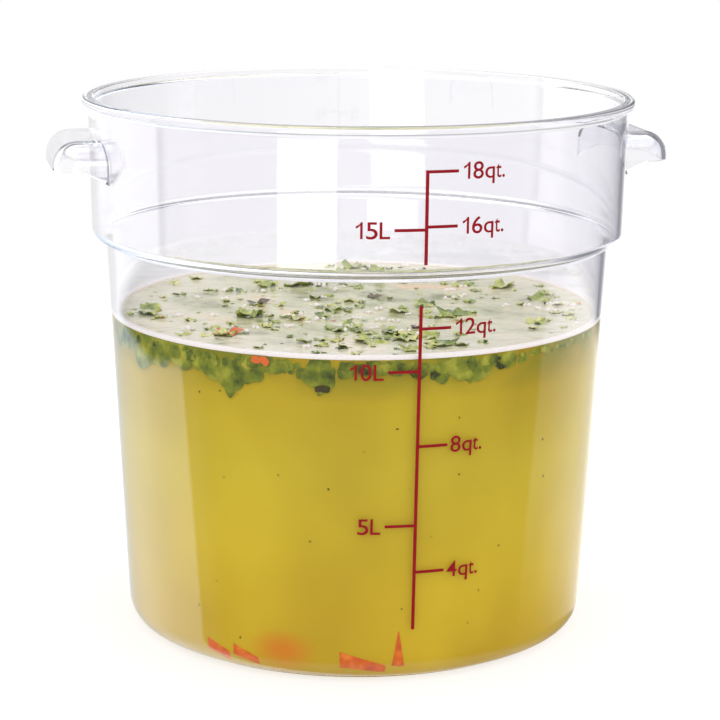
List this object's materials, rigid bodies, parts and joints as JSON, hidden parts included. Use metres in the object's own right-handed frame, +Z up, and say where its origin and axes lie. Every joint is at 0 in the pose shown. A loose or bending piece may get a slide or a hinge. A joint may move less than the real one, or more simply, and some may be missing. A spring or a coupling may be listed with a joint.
{
  "type": "food storage container",
  "caption": "Round clear food storage container with a beaded rim, a stepped shoulder, hollow scoop handles and a printed volume scale.",
  "frame": {"origin": "centre of the foot ring, on the surface that the container stands on", "axes": "+Z up out of the mouth; +X and -X through the two handles; -Y faces the printed scale"},
  "size_m": [0.357, 0.318, 0.31],
  "materials": {
    "clear_plastic": "clear polished polycarbonate",
    "red_ink": "screen-printed red ink"
  },
  "bodies": {
    "root": {"container_body": "clear_plastic", "scale_line_upper": "red_ink", "scale_line_lower": "red_ink", "mark_18qt_1": "red_ink", "mark_18qt_8": "red_ink", "mark_18qt_q": "red_ink", "mark_18qt_t": "red_ink", "mark_18qt_dot": "red_ink", "mark_16qt_1": "red_ink", "mark_16qt_6": "red_ink", "mark_16qt_q": "red_ink", "mark_16qt_t": "red_ink", "mark_16qt_dot": "red_ink", "mark_15L_1": "red_ink", "mark_15L_5": "red_ink", "mark_15L_L": "red_ink", "mark_12qt_1": "red_ink", "mark_12qt_2": "red_ink", "mark_12qt_q": "red_ink", "mark_12qt_t": "red_ink", "mark_12qt_dot": "red_ink", "mark_10L_1": "red_ink", "mark_10L_0": "red_ink", "mark_10L_L": "red_ink", "mark_8qt_8": "red_ink", "mark_8qt_q": "red_ink", "mark_8qt_t": "red_ink", "mark_8qt_dot": "red_ink", "mark_5L_5": "red_ink", "mark_5L_L": "red_ink", "mark_4qt_4": "red_ink", "mark_4qt_q": "red_ink", "mark_4qt_t": "red_ink", "mark_4qt_dot": "red_ink"}
  },
  "joints": []
}
